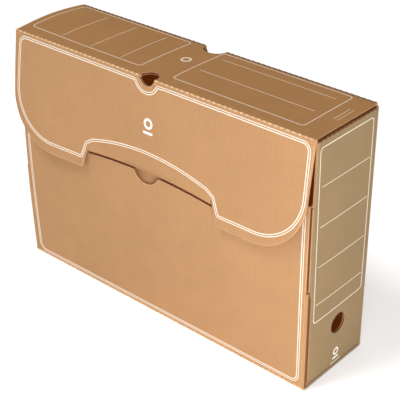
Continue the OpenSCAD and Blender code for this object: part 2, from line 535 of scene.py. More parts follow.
def section_at(section, at, lift, pull, axis):
    """The cross-section's points in space, at one place along the axis."""
    ring = []
    for p, q, share_p, share_q in section:
        p2, q2 = p + share_p * lift, q + share_q * lift - pull
        ring.append({"x": (at, p2, q2), "y": (p2, at, q2), "z": (p2, q2, at)}[axis])
    return ring


def crease(name, section, spans, axis, body, ripple=0.0, step=0.8, blend=None, dents=0.03, skins=(),
           sway=None):
    """A folded strip of board: a closed cross-section swept along X, Y or Z, rippled by the waves in it.

    Each section point is (p, q, share_p, share_q), where the shares say how it follows the ripple.
    sway(at) moves the section towards the front. Each of skins is (material, first face, last face), and
    gives those faces of the section another liner, or painted shade."""
    materials = [MATERIALS["kraft_crease"], MATERIALS["cut_edge"]]
    face_marks = [0] * len(section)
    for skin, first, last in skins:
        materials.append(MATERIALS[skin])
        face_marks[first:last + 1] = [len(materials) - 1] * (last + 1 - first)
    build = Build()
    rng = random.Random(name)
    for start, end in spans:
        count = max(2, int(round((end - start) / step)))
        points = []
        drift = 0.0
        for i in range(count + 1):
            at = start + (end - start) * i / count
            drift = 0.86 * drift + rng.uniform(-1, 1) * dents
            lift = ripple * math.sin(2 * math.pi * at / PITCH) + drift
            points += section_at(section, at, lift, float(sway(at)) if sway else 0.0, axis)
        build.add(points, tube_faces(count, len(section)), face_marks * count + [1, 1])
    made = build.finish(name, materials, None if blend else body, (name,), "kraft_crease", smooth_angle=50)
    if blend:
        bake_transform(made)
    return made


# ---- Materials ----

def material(name):
    made = bpy.data.materials.new(name)
    made.use_nodes = True
    return made, made.node_tree, made.node_tree.nodes["Principled BSDF"]


def feed(tree, socket, value):
    """Links a socket, or sets a plain value."""
    if isinstance(value, bpy.types.NodeSocket):
        tree.links.new(value, socket)
    else:
        socket.default_value = value


def node(tree, kind, inputs=None, **settings):
    made = tree.nodes.new(kind)
    for key, value in settings.items():
        setattr(made, key, value)
    for key, value in (inputs or {}).items():
        feed(tree, made.inputs[key], value)
    return made


def maths(tree, operation, a, b=0.0, c=0.0, clamp=False):
    made = node(tree, "ShaderNodeMath", operation=operation, use_clamp=clamp)
    for i, value in enumerate((a, b, c)):
        feed(tree, made.inputs[i], value)
    return made.outputs[0]


def mul_add(tree, a, b, c, clamp=False):
    return maths(tree, "MULTIPLY_ADD", a, b, c, clamp)


def scaled(tree, vector, scale):
    return node(tree, "ShaderNodeMapping", {"Vector": vector, "Scale": scale}).outputs["Vector"]


def noise(tree, vector, scale, detail=2.0, rough=0.5):
    inputs = {"Vector": vector, "Scale": scale, "Detail": detail, "Roughness": rough}
    return node(tree, "ShaderNodeTexNoise", inputs).outputs["Fac"]


def mixed(tree, factor, a, b, kind="MIX"):
    made = node(tree, "ShaderNodeMix", data_type="RGBA", blend_type=kind)
    for i, value in ((0, factor), (6, a), (7, b)):
        feed(tree, made.inputs[i], value)
    return made.outputs[2]


def tone(rgb, k=1.0):
    return (rgb[0] * k, rgb[1] * k, rgb[2] * k, 1.0)


def object_place(tree):
    return node(tree, "ShaderNodeTexCoord").outputs["Object"]


def dress(tree, shader, colour, roughness, height, strength, distance):
    """Gives the shader its colour, roughness and bump."""
    bump = node(tree, "ShaderNodeBump", {"Strength": strength, "Distance": distance, "Height": height})
    tree.links.new(colour, shader.inputs["Base Color"])
    tree.links.new(roughness, shader.inputs["Roughness"])
    tree.links.new(bump.outputs["Normal"], shader.inputs["Normal"])


def light_up(shader, colour, strength):
    shader.inputs["Emission Color"].default_value = colour
    shader.inputs["Emission Strength"].default_value = strength


def fibres(tree, place):
    """Paper fibres: fine noise drawn out upright, mixed with some drawn out level."""
    upright = noise(tree, scaled(tree, place, (1.0, 1.0, 0.18)), 1500.0, 3.0, 0.6)
    level = noise(tree, scaled(tree, place, (0.22, 0.22, 1.0)), 1100.0, 3.0, 0.6)
    return mul_add(tree, upright, 0.5, maths(tree, "MULTIPLY", level, 0.5))


def liner_colour(tree, rgb, place, swing, cloud, fibre, band):
    """The liner before wear: each layer makes it a little lighter or darker."""
    uneven = noise(tree, place, 14.0, 3.0)
    speck = maths(tree, "GREATER_THAN", noise(tree, place, 820.0, 2.0, 0.4), 0.69)
    shade = 1.0
    for layer, strength in ((uneven, 0.20), (cloud, 0.12), (fibre, 0.34)):
        shade = mul_add(tree, maths(tree, "SUBTRACT", layer, 0.5), strength, shade)
    shade = mul_add(tree, swing, band * 0.5, shade)
    shade = mul_add(tree, speck, -0.16, shade)
    grey = node(tree, "ShaderNodeCombineColor", {"Red": shade, "Green": shade, "Blue": shade}).outputs[0]
    colour = mixed(tree, 1.0, tone(rgb), grey, "MULTIPLY")
    warmer = tone((rgb[0] * 1.02, rgb[1] * 0.95, rgb[2] * 0.86))
    return mixed(tree, maths(tree, "MULTIPLY", cloud, 0.22), colour, warmer)


def wear_mask(tree, place, swing, wear, crease_wear):
    """Where the liner is rubbed pale: in chips along cut edges and, on creases, over the waves' crests."""
    rim = node(tree, "ShaderNodeAttribute", attribute_name="rim").outputs["Fac"]
    chip = mul_add(tree, noise(tree, place, 240.0, 3.0), 1.6, -0.25, clamp=True)
    mask = maths(tree, "MULTIPLY", maths(tree, "SUBTRACT", 1.0, rim, clamp=True), chip, clamp=True)
    if crease_wear:
        crest = mul_add(tree, swing, 0.5, 0.5)
        crest = mul_add(tree, crest, 2.2, -0.9, clamp=True)
        rub = mul_add(tree, noise(tree, place, 190.0, 2.0), 3.2, -0.8, clamp=True)
        rubbed = maths(tree, "MULTIPLY", crest, rub)
        mask = mul_add(tree, rubbed, crease_wear, mask, clamp=True)
    return maths(tree, "MULTIPLY", mask, wear, clamp=True)


def kraft(name, rgb, across="X", band=0.02, wear=0.35, crease_wear=0.0, painted_glow=0.0):
    """Kraft liner: fibres, specks, uneven tone, faint bands over the waves, and pale worn edges.

    painted_glow is painted light: a faint warm emission in place of the light that bounces inside the box
    and comes through the board."""
    made, tree, shader = material(name)
    place = object_place(tree)
    along = node(tree, "ShaderNodeSeparateXYZ", {"Vector": place}).outputs[across]
    swing = maths(tree, "SINE", maths(tree, "MULTIPLY", along, 2 * math.pi / (PITCH * MM)))
    cloud = noise(tree, place, 60.0, 3.0)
    fibre = fibres(tree, place)
    colour = liner_colour(tree, rgb, place, swing, cloud, fibre, band)
    pale = (min(1, rgb[0] * 1.25 + 0.07), min(1, rgb[1] * 1.35 + 0.08), min(1, rgb[2] * 1.6 + 0.08))
    colour = mixed(tree, wear_mask(tree, place, swing, wear, crease_wear), colour, tone(pale))
    height = mul_add(tree, fibre, 0.35, maths(tree, "MULTIPLY", swing, 0.08))
    height = mul_add(tree, cloud, 0.6, height)
    dress(tree, shader, colour, mul_add(tree, fibre, 0.22, 0.66), height, 0.35, 0.00022)
    shader.inputs["Specular IOR Level"].default_value = 0.16
    # Painted light: the material glows faintly, though it is no lamp.
    if painted_glow:
        light_up(shader, (1.0, 0.22, 0.03, 1.0), painted_glow)
    return made


def cut_edge(name, rgb):
    """The liners' cut edges: pale and hairy."""
    made, tree, shader = material(name)
    place = object_place(tree)
    grain = noise(tree, place, 1400.0, 3.0, 0.6)
    patch = maths(tree, "MULTIPLY", noise(tree, place, 130.0, 2.0), 0.4)
    hair = mul_add(tree, grain, 1.6, -0.3, clamp=True)
    colour = mixed(tree, hair, tone(rgb, 0.78), tone(rgb, 1.12))
    colour = mixed(tree, patch, colour, tone((rgb[0], rgb[1] * 0.9, rgb[2] * 0.75), 0.8))
    dress(tree, shader, colour, mul_add(tree, grain, 0.15, 0.78), grain, 0.5, 0.0002)
    return made


def ink(name, rgb, under):
    """White ink on kraft: a little broken, where fibres take less of it."""
    made, tree, shader = material(name)
    place = object_place(tree)
    skip = noise(tree, place, 700.0, 3.0, 0.6)
    wide = mul_add(tree, noise(tree, place, 90.0, 2.0), 1.2, 0.0, clamp=True)
    thin = mul_add(tree, skip, 3.2, -1.65, clamp=True)
    colour = mixed(tree, maths(tree, "MULTIPLY", thin, wide, clamp=True), tone(rgb), tone(under))
    dress(tree, shader, colour, mul_add(tree, skip, 0.2, 0.5), skip, 0.3, 0.0001)
    return made


# FACE, LID and END are one board's kraft in three tones. The differences are painted light and shade: the
# front wall and flap lighter, the lid and the ends darker and cooler, as the light fell on them.
FACE = (0.43, 0.235, 0.110)
LID = (0.37, 0.185, 0.068)
END = (0.30, 0.203, 0.103)
INNER = (0.36, 0.19, 0.085)
CREASE = (0.57, 0.34, 0.17)

LINERS = {
    "kraft_face": dict(rgb=FACE, wear=0.9),
    "kraft_lid": dict(rgb=LID),
    "kraft_end": dict(rgb=END, across="Y"),
    "kraft_inner": dict(rgb=INNER, across="Y"),
    # kraft_inside has a painted glow: a faint warm emission in place of the light that bounces about inside
    # the box.
    "kraft_inside": dict(rgb=INNER, painted_glow=0.05),
    # The front's kraft with a faint painted glow, which lightens the shade in the slit where the tongue
    # goes in.
    "kraft_tongue_painted_glow": dict(rgb=FACE, painted_glow=0.03),
    "kraft_crease": dict(rgb=CREASE, wear=1.0, crease_wear=1.0),
    "kraft_end_crease": dict(rgb=END, across="Y", wear=1.0, crease_wear=0.3),
    # Painted shade: a dark brown for crease faces that sit in the gap under the lid's edge and in the front
    # corners' grooves, with a faint painted glow.
    "kraft_gap_shade": dict(rgb=(0.22, 0.085, 0.028), across="Y", band=0.5, painted_glow=0.015),
    "kraft_shade": dict(rgb=(0.17, 0.115, 0.07), band=1.2),
    # Painted shade: a darker, greyer kraft for the rear upright corners, where they turn away from the
    # light.
    "kraft_back_crease_shade": dict(rgb=(0.25, 0.175, 0.10), across="Y"),
    # Painted shade along the foot: a darker, greyer kraft for the base creases and the bottom's cut edges.
    "kraft_foot_shade": dict(rgb=(0.28, 0.215, 0.135), across="Y"),
    # The waved sheet's own darker brown, with a painted glow that warms the shade where it shows in cut
    # edges and gaps.
    "medium": dict(rgb=(0.24, 0.10, 0.032), band=0.0, wear=0.0, painted_glow=0.06),
}
INKS = {
    "white_print": ((0.86, 0.83, 0.78), (0.66, 0.45, 0.29)),
    "border_print": ((0.82, 0.72, 0.61), (0.56, 0.37, 0.22)),
    # lid_print and end_print are the same white ink as the front's, painted darker to follow the painted
    # shade on the lid and the ends.
    "lid_print": ((0.72, 0.57, 0.43), (0.50, 0.32, 0.18)),
    "end_print": ((0.76, 0.68, 0.55), (0.50, 0.38, 0.23)),
}
MATERIALS = {name: kraft(name, **look) for name, look in LINERS.items()}
MATERIALS.update({name: ink(name, *colours) for name, colours in INKS.items()})
MATERIALS["cut_edge"] = cut_edge("cut_edge", (0.60, 0.35, 0.17))


# ---- Middle surfaces ----

def flap_gap(z):
    """How far the flap's inner face stands in front of the front wall's plane, at height z."""
    reach = (FRONT_AXIS[2] - z) * math.tan(LEAN)
    return Y_FRONT - (FRONT_AXIS[1] - reach + HALF)


def corner_sway(side, z):
    """How far each upright front corner is pushed out: the left one has been pulled more."""
    reach = LEFT_SWAY if side < 0 else RIGHT_SWAY
    return reach * np.sin(math.pi * np.clip(np.asarray(z, float) / SWAY_TOP, 0, 1))


def wall_bulge(x, z):
    """The front wall is pushed out by what the box holds, up to the flap's inner face.

    It gives way softly where the flap limits it, and stays lower above the slit."""
    x, z = np.asarray(x, float), np.asarray(z, float)
    edge = np.clip(np.abs(x) / X_IN, 0, 1) ** 3
    sway = np.where(x < 0, corner_sway(-1, z), corner_sway(1, z))
    rise = WALL_BULGE * smooth(z, 4, 164)
    limit = flap_gap(z) - FLAP_CLEAR - 1.6 * smooth(z - slit_lip(x), 3, 9)
    soft = 0.6
    limited = -soft * np.logaddexp(-rise / soft, -limit / soft)
    out = np.where(z > 120, limited, rise)
    return (1 - edge) * out + edge * np.minimum(sway, np.maximum(limit, 0) + soft)


def slit_lip(x):
    """Height of the slit's lower lip, which arches up towards the middle."""
    return SLIT_END_Z + SLIT_RISE * (1 - np.clip(np.abs(x) / SLIT_HALF, 0, 1) ** 2)


def front_middle(x, z):
    return np.stack([x, Y_FRONT + HALF - wall_bulge(x, z), z], -1)


def dome(across, up):
    """1 in the middle of a panel and 0 at its borders. across runs from -1 to 1, and up from 0 to 1."""
    return np.cos(np.clip(across, -1, 1) * math.pi / 2) * np.sin(np.clip(up, 0, 1) * math.pi)


def back_middle(x, z):
    return np.stack([x, Y_BACK - HALF + BACK_SWELL * dome(x / X_IN, z / BACK_TOP), z], -1)


def end_middle(side):
    def middle(y, z):
        out = END_SWELL * dome(2 * (y - Y_FRONT) / (Y_BACK - Y_FRONT) - 1, z / END_TOP)
        pulled = y - corner_sway(side, z) * (1 - smooth(y, Y_FRONT_IN + 2, Y_FRONT_IN + 55))
        return np.stack([side * (X_IN + HALF + out), pulled, z], -1)
    return middle


def lid_middle(x, y):
    t = (y - LID_LOW[1]) / (LID_HIGH[1] - LID_LOW[1])
    crown = LID_CROWN * np.sin(np.clip(t, 0, 1) * math.pi) * smooth(-x, 95, 200)
    return np.stack([x, y, TOP - HALF + LID_BOW * dome(x / LID_HALF, t) + crown], -1)


def flap_lift(x, d):
    """The lobes spring out unevenly, and the flap's left part bellies out."""
    down = np.clip(d / FLAP_LEN, 0, 1.3) ** 2
    left = LEFT_LIFT * smooth(-x, 50, 185)
    right = RIGHT_LIFT * smooth(x, 60, 185)
    belly = FLAP_BELLY * smooth(-x, 90, 190) * np.sin(np.clip(d / 135.0, 0, 1) * math.pi)
    return (left + right) * down + belly


def flap_middle(x, d):
    lift = flap_lift(x, d)
    y = FRONT_AXIS[1] - d * math.sin(LEAN) - lift * math.cos(LEAN)
    z = FRONT_AXIS[2] - d * math.cos(LEAN) + lift * math.sin(LEAN)
    return np.stack([x, y, z], -1)


def tongue_middle(x, d):
    """Goes on in the flap's plane, then bends through the slit and down the inside of the front wall."""
    plane = flap_middle(x, d)
    z = plane[..., 2]
    lip = slit_lip(x)
    gap = 0.6 + 1.3 * smooth(z, lip - 14, lip - 3)
    behind = Y_FRONT + BOARD + HALF + gap - wall_bulge(x, np.minimum(z, lip))
    share = smooth(-z, -lip - 8.5, 1.5 - lip)
    y = plane[..., 1] * (1 - share) + behind * share
    shift = SLIT_X * smooth(d, TONGUE_ROOT, TONGUE_ROOT + 12)
    return np.stack([x + shift, y, z], -1)


def flat_middle(z):
    def middle(x, y):
        return np.stack([x, y, np.full(np.shape(x), float(z))], -1)
    return middle


# ---- Outlines ----

def circle(cx, cy, r, steps=40):
    return arc(cx, cy, r, 0, 360, steps)[:-1]


def block(x0, x1, y0, y1):
    return [(x0, y0), (x1, y0), (x1, y1), (x0, y1)]


def mirrored(points):
    return [(-x, y) for x, y in reversed(points)]


def slit_loop():
    """The slit: an arched lower lip with a thumb notch, and an upper edge behind the flap."""
    middle = FINGER_X - SLIT_X
    centre_z = SLIT_END_Z + SLIT_RISE + NOTCH_R - NOTCH_DEPTH

    def notch_z(x):
        return centre_z - math.sqrt(max(0, NOTCH_R ** 2 - (x - middle) ** 2))

    lip = [(x, float(slit_lip(x))) for x in np.linspace(-SLIT_HALF, SLIT_HALF, 61)]
    plain = [(x, z) for x, z in lip if notch_z(x) >= z]
    left = [p for p in plain if p[0] < middle]
    right = [p for p in plain if p[0] > middle]
    across = np.linspace(middle - NOTCH_R, middle + NOTCH_R, 21)
    notch = [(x, notch_z(x)) for x in across if notch_z(x) < slit_lip(x)]
    top = [(x, z + SLIT_OPEN) for x, z in reversed(lip)]
    return [(x + SLIT_X, z) for x, z in left + notch + right + top]


def front_outline():
    return [
        (-X_IN, BOARD), (X_IN, BOARD), (X_IN, SPLIT_Z), (TAB_EDGE, SPLIT_Z + 0.6), (TAB_EDGE, FRONT_TOP),
        (-TAB_EDGE, FRONT_TOP), (-TAB_EDGE, SPLIT_Z + 0.6), (-X_IN, SPLIT_Z),
    ]


def end_outline():
    return [
        (CORNER_EDGE_Y, BASE_HIGH[2]), (Y_BACK_IN, BASE_HIGH[2]), (Y_BACK_IN, END_TOP),
        (Y_FRONT_IN + 1.6, END_TOP), (Y_FRONT_IN + 0.6, FRONT_TOP + 1.5), (Y_FRONT_IN, FRONT_TOP - 0.5),
        (Y_FRONT_IN, SPLIT_Z), (CORNER_EDGE_Y, SPLIT_Z),
    ]


def lid_outline(half):
    y0, y1 = LID_LOW[1], LID_HIGH[1]
    hole_y = FRONT_AXIS[1] + CREASE_HOLE_BACK
    a = crossing_angle(y0 - hole_y, CREASE_HOLE_R)
    front = arc(FINGER_X, hole_y, CREASE_HOLE_R, 180 - a, a, 20)
    b = crossing_angle(Y_BACK - y1, REAR_BITE_R)
    rear = arc(0, Y_BACK, REAR_BITE_R, -b, -180 + b, 20)
    return [(-half, y0)] + front + [(half, y0), (half, y1)] + rear + [(-half, y1)]


def back_outline():
    b = crossing_angle(TOP - BACK_TOP, REAR_BITE_R)
    bite = arc(0, TOP, REAR_BITE_R, -b, -180 + b, 20)
    return [(-X_IN, BOARD), (X_IN, BOARD), (X_IN, BACK_TOP)] + bite + [(-X_IN, BACK_TOP)]


def flap_outline():
    """x along the box and d down from the crease."""
    a = crossing_angle(SETBACK + CREASE_HOLE_BACK, CREASE_HOLE_R)
    dip = arc(FINGER_X, -CREASE_HOLE_BACK, CREASE_HOLE_R, a, 180 - a, 20)
    lobe = arc(LID_HALF - LOBE_INSET - LOBE_R, FLAP_LEN - LOBE_R, LOBE_R, 0, 90, 24)
    step_up = [lobe[-1], (TONGUE_HALF + LOBE_SPREAD, FLAP_LEN), (TONGUE_HALF, TONGUE_ROOT)]
    right = [(LID_HALF, SETBACK)] + lobe + rounded(step_up, [0, 2.0, 0], False)[1:]
    return right + mirrored(right) + list(reversed(dip))


def tongue_outline():
    far = TONGUE_ROOT + TONGUE_REACH
    shoulder = TONGUE_ROOT + 14
    half = TONGUE_HALF - 0.2
    points = [(half, TONGUE_ROOT), (half, shoulder), (half - 8, far), (8 - half, far), (-half, shoulder),
              (-half, TONGUE_ROOT)]
    return rounded(points, [0, 6, 14, 14, 6, 0])


# ---- Panels ----

def at_tongue_root(x, d):
    return (np.abs(x) < TONGUE_HALF + 0.1) & (np.abs(d - TONGUE_ROOT) < 0.5)


def low_corner(y, z):
    return z < SPLIT_Z - 1


board("front_wall", [front_outline(), slit_loop()], front_middle, 1, "case", "kraft_face", step=7.0,
      row_step=9.0, rimless=everywhere)
board("back_wall", [back_outline()], back_middle, -1, "case", "kraft_face", step=14.0, row_step=30.0)
# The bottom's cut edges are painted in shade.
board("bottom_panel", [block(-BOTTOM_HALF, BOTTOM_HALF, Y_FRONT_IN, Y_BACK_IN)], flat_middle(HALF), -1,
      "case", "kraft_end", step=16.0, edge="kraft_foot_shade")
for side, hand in SIDES:
    board(hand + "_end_panel", [end_outline(), circle(*END_HOLE)], end_middle(side), side, "case",
          "kraft_end", row_step=16.0, rimless=low_corner)
board("lid_panel", [lid_outline(LID_HALF)], lid_middle, 1, "lid", "kraft_lid", row_step=24.0,
      rimless=everywhere, inner_loops=[lid_outline(LID_HALF - 2.4)])
board("closure_flap", [flap_outline()], flap_middle, -1, "flap", "kraft_face", step=7.0, row_step=12.0,
      keep=at_tongue_root)
# The tongue's outer liner carries a faint painted glow.
board("closure_tongue", [tongue_outline()], tongue_middle, -1, "flap", "kraft_face", step=2.2, row_step=1.6,
      keep=at_tongue_root, skin="kraft_tongue_painted_glow")


# ---- Inner flaps and corners ----

def tab_middle(side):
    y_flat = Y_FRONT_IN + 0.5 + HALF
    def middle(x, z):
        inset = wall_bulge(TAB_EDGE - 20, z) * smooth(X_IN - side * x, 0, 40)
        return np.stack([x, y_flat - inset * 0.6, z], -1)
    return middle


def flange_middle(side):
    x_flat = side * (X_IN - SLACK - HALF)
    def middle(y, z):
        return np.stack([np.full(np.shape(y), x_flat), y, z], -1)
    return middle


def sided(points, side):
    return [(side * x, y) for x, y in points]


def tab_outline():
    root = X_IN - BOARD
    return [(root, TAB_LOW[2]), (root, TAB_HIGH[2]), (TAB_LOW[0], TAB_HIGH[2] - 4),
            (TAB_LOW[0], TAB_LOW[2] + 4)]


def flange_outline():
    root = Y_FRONT_IN + BOARD
    return [(root, FLANGE_LOW[2]), (FLANGE_HIGH[1], FLANGE_LOW[2] + 5),
            (FLANGE_HIGH[1], FLANGE_HIGH[2] - 5), (root, FLANGE_HIGH[2])]


def base_outline():
    return [(X_IN, BASE_LOW[1]), (X_IN, BASE_HIGH[1]), (BASE_LOW[0], BASE_HIGH[1] - 9.7),
            (BASE_LOW[0], BASE_LOW[1] + 10)]


def dust_outline():
    root, shoulder = X_IN - 0.1, X_IN - 8
    return [(root, DUST_LOW[1]), (root, DUST_HIGH[1]), (shoulder, DUST_HIGH[1]),
            (DUST_LOW[0], DUST_HIGH[1] - 15), (DUST_LOW[0], DUST_LOW[1] + 11.5),
            (shoulder, DUST_LOW[1] + 3.5)]


for side, hand in SIDES:
    board(hand + "_lock_tab", [rounded(sided(tab_outline(), side), [0, 0, 5, 5])], tab_middle(side), side,
          "case", "kraft_inner", step=10.0, row_step=20.0)
    board(hand + "_corner_flange", [rounded(flange_outline(), [0, 5, 5, 0])], flange_middle(side), side,
          "case", "kraft_inner", step=12.0)
    board(hand + "_base_flap", [rounded(sided(base_outline(), side), [0, 0, 4, 4])],
          flat_middle(BASE_LOW[2] + HALF), 1, "case", "kraft_inner", step=14.0)
    board(hand + "_dust_flap", [rounded(sided(dust_outline(), side), [0, 0, 2, 8, 8, 2])],
          flat_middle(DUST_LOW[2] + HALF), 1, hand + "_dust", "kraft_inner", step=12.0)


# ---- Cross-sections of creases ----

def fold_arc(c0, c1, radius, a0, a1, steps=12, mirror=1):
    """Section points on an arc, which follow the ripple outwards."""
    return [(mirror * p, q, mirror * (p - c0) / radius, (q - c1) / radius)
            for p, q in arc(c0, c1, radius, a0, a1, steps)]


def still(*points):
    """Section points that the ripple doesn't move."""
    return [(p, q, 0.0, 0.0) for p, q in points]


def quarter_section(c0, c1, a0, a1, mirror=1):
    """A quarter round about a fold's inner corner, between two angles."""
    return fold_arc(c0, c1, BOARD, a0, a1, mirror=mirror) + still((mirror * c0, c1))


def at_flap(d, out):
    """(y, z) of a point in the flap's plane: d down from the crease, out from the middle of the board."""
    return (FRONT_AXIS[1] - d * math.sin(LEAN) - out * math.cos(LEAN),
            FRONT_AXIS[2] - d * math.cos(LEAN) + out * math.sin(LEAN))


def front_crease_section():
    cy, cz = FRONT_AXIS[1:]
    bead = fold_arc(cy, cz, HALF, 90, 180 - math.degrees(LEAN), 10)
    inner = still(at_flap(SETBACK, HALF), at_flap(SETBACK, 0.1 - HALF), (cy + SETBACK, cz - HALF + 0.1))
    return still((cy + SETBACK, cz + HALF)) + bead + inner


def rear_crease_section():
    cy, cz = REAR_AXIS[1:]
    bead = fold_arc(cy, cz, HALF, 0, 90, 10)
    inner = still((LID_HIGH[1], cz + HALF), (LID_HIGH[1], cz - HALF + 0.1), (cy - HALF, BACK_TOP))
    return still((cy + HALF, BACK_TOP)) + bead + inner


def tab_section(side):
    """The corner above the split, where the front wall's edge stands in front of the lock tab."""
    jog = side * (X_IN - DOG_LEG)
    bead = fold_arc(X_OUT - 1.5, Y_FRONT_IN + 0.2, 1.5, 0, -90, mirror=side)
    return bead + still((jog, Y_FRONT_IN + SLACK), (jog, Y_FRONT_IN + DOG_LEG), (side * X_IN, Y_FRONT_IN))


def flange_section(side):
    """The corner below the split, where the corner flange stands behind the end panel's edge."""
    jog = Y_FRONT_IN + DOG_LEG
    bead = fold_arc(X_IN, Y_FRONT_IN, BOARD, -90, 0, mirror=side)
    return bead + still((side * (X_IN - SLACK), jog), (side * (X_IN - DOG_LEG), jog),
                        (side * X_IN, Y_FRONT_IN))


# ---- Creases between parts that open. Each blend names the two bodies and a place on each; the crease is baked in place and follows neither ----

hole_half = math.sqrt(CREASE_HOLE_R ** 2 - CREASE_HOLE_BACK ** 2)
crease("front_lid_crease", front_crease_section(),
       [(-LID_HALF, FINGER_X - hole_half), (FINGER_X + hole_half, LID_HALF)], "x", None, ripple=0.14,
       skins=[("kraft_lid", 0, 1), ("kraft_face", 9, 12), ("kraft_inside", 13, 13)],
       blend=("lid", "flap", metres(0, FRONT_AXIS[1] + SETBACK, FRONT_AXIS[2] + HALF),
              metres(0, *at_flap(SETBACK, HALF))))
crease("rear_lid_crease", rear_crease_section(), [(-X_IN, -REAR_BITE_R), (REAR_BITE_R, X_IN)], "x", None,
       ripple=0.18, skins=[("kraft_shade", 0, 11), ("kraft_inside", 12, 13)],
       blend=("case", "lid", metres(0, REAR_AXIS[1] + HALF, BACK_TOP),
              metres(0, LID_HIGH[1], REAR_AXIS[2] + HALF)))
for side, hand in SIDES:
    dust_fold = fold_arc(X_IN, END_TOP, BOARD, 0, 90, mirror=side) + still((side * (X_IN - 0.05), END_TOP))
    # The dust crease's faces that turn up under the lid's edge are painted shade.
    crease(hand + "_dust_crease", dust_fold, [(DUST_LOW[1], DUST_HIGH[1])], "y", None, ripple=0.14,
           skins=[("kraft_end_crease", 0, 4), ("kraft_gap_shade", 5, 12)],
           blend=("case", hand + "_dust", metres(side * (X_IN + BOARD), 0, END_TOP),
                  metres(side * X_IN, 0, END_TOP + BOARD)))


# ---- Creases that stay folded ----

for name, y, a0 in (("front", Y_FRONT_IN, 180), ("back", Y_BACK_IN, 270)):
    crease(name + "_bottom_crease", quarter_section(y, BOARD, a0, a0 + 90), [(-BOTTOM_HALF, BOTTOM_HALF)],
           "x", "case", ripple=0.06)
for side, hand in SIDES:
    # The rear upright corners are painted in shade.
    crease(hand + "_back_crease", quarter_section(X_IN, Y_BACK_IN, 0, 90, side),
           [(BOARD, BACK_TOP - SLACK)], "z", "case", step=2.0, skins=[("kraft_back_crease_shade", 0, 11)])
    # The base creases are painted in shade along the foot.
    crease(hand + "_base_crease", quarter_section(X_IN, BASE_HIGH[2], 270, 360, side),
           [(BASE_LOW[1], BASE_HIGH[1])], "y", "case", ripple=0.06, dents=0.02,
           skins=[("kraft_foot_shade", 0, 12)])
    sway = (lambda z, way=side: corner_sway(way, z))
    # In both front-corner creases the faces in the groove between the boards are painted shade.
    crease(hand + "_tab_crease", tab_section(side), [(TAB_LOW[2], TAB_HIGH[2])], "z", "case", step=2.0,
           skins=[("kraft_end", 0, 4), ("kraft_face", 5, 9), ("kraft_gap_shade", 10, 14)], sway=sway)
    crease(hand + "_flange_crease", flange_section(side), [(BOARD, FLANGE_HIGH[2])], "z", "case", step=2.0,
           skins=[("kraft_face", 0, 6), ("kraft_gap_shade", 7, 12)], sway=sway)


# ---- White print: strips that start just above the board and end just inside it ----

INK_TOP, INK_FOOT = -0.05, 0.02
FRAME_WIDTH, RULE_WIDTH, FINE_WIDTH = 1.1, 0.75, 0.6


def offset_line(points, gap, closed):
    """A line beside another one, at a fixed gap."""
    p = np.array(points, float)
    if closed:
        before, after = np.roll(p, 1, axis=0), np.roll(p, -1, axis=0)
    else:
        before = np.concatenate([p[:1] * 2 - p[1:2], p[:-1]])
        after = np.concatenate([p[1:], p[-1:] * 2 - p[-2:-1]])
    d0 = (p - before) / np.linalg.norm(p - before, axis=1)[:, None]
    d1 = (after - p) / np.linalg.norm(after - p, axis=1)[:, None]
    n0 = np.stack([-d0[:, 1], d0[:, 0]], 1)
    n1 = np.stack([-d1[:, 1], d1[:, 0]], 1)
    bisector = n0 + n1
    bisector /= np.linalg.norm(bisector, axis=1)[:, None]
    stretch = np.clip((bisector * n0).sum(1), 0.5, 1)
    return p + bisector * (gap / stretch)[:, None]


def add_stroke(build, line, width, place, closed=False, step=3.0):
    """A printed line: a very thin closed strip that lies on the board."""
    line = resample(line, step, closed)
    n = len(line)
    borders = [offset_line(line, gap, closed) for gap in (width / 2, -width / 2)]
    rows = [place(*border.T, np.full(n, depth)) for depth in (INK_TOP, INK_FOOT) for border in borders]
    faces = []
    for i in range(n if closed else n - 1):
        j = (i + 1) % n
        faces += [(a * n + i, a * n + j, b * n + j, b * n + i) for a, b in ((0, 1), (3, 2), (2, 0), (1, 3))]
    if not closed:
        faces += [(i, n + i, 3 * n + i, 2 * n + i) for i in (0, n - 1)]
    build.add(np.concatenate(rows), faces, 0)


def add_patch(build, loop, place, step=1.5):
    """A printed solid shape."""
    flat, triangles, sides, _ = lattice([loop], step, 0.4)
    layers = [place(*flat.T, np.full(len(flat), depth)) for depth in (INK_TOP, INK_FOOT)]
    build.add(np.concatenate(layers), sheet_faces(triangles, sides, len(flat)), 0)


def add_double(build, line, place, closed=False):
    """The double border: a bold stroke and a finer one inside it."""
    fine = resample(line, 3.0, closed)
    for gap, width in ((1.1, 1.05), (-1.1, 0.9)):
        add_stroke(build, [tuple(p) for p in offset_line(fine, gap, closed)], width, place, closed)


def flap_border():
    """Follows the flap's outline, dips round the finger hole and arches over the tongue."""
    top, tip = 3.9, 109.8
    arch_top, arch = 76, 0.0018
    hole_r, back = 15.2, 0.9
    reach = top + back
    dip_half = math.sqrt(hole_r ** 2 - reach ** 2)
    a = crossing_angle(reach, hole_r)
    dip = arc(0, -back, hole_r, 90, a + 6, 10)
    dip += rounded([dip[-1], (dip_half + 1.2, top), (dip_half + 8.0, top)], [0, 2, 0], False)[1:]
    left_dip = [(FINGER_X - x, d) for x, d in reversed(dip)]
    right_dip = [(FINGER_X + x, d) for x, d in dip]
    corner = arc(181.5, top + 8, 8, -90, 0, 8)
    lobe = arc(136.0, 56.5, 53.3, 0, 90, 24)
    step_up = [(110, tip), (93.2, tip), (86.8, 92.5), (78, arch_top + arch * 78 ** 2)]
    inner = rounded(step_up, [0, 2.5, 3.5, 0], False)
    over = [(x, arch_top + arch * x * x) for x in range(74, 0, -4)]
    half = [(176.0, top)] + corner + [(189.4, 40)] + lobe + inner[1:] + over
    left_half = [(-x * 0.982, d) for x, d in reversed(half)]
    line = right_dip + half + [(0.0, arch_top)] + left_half + left_dip[:-1]
    return [p for i, p in enumerate(line) if i == 0 or math.dist(p, line[i - 1]) > 0.2]


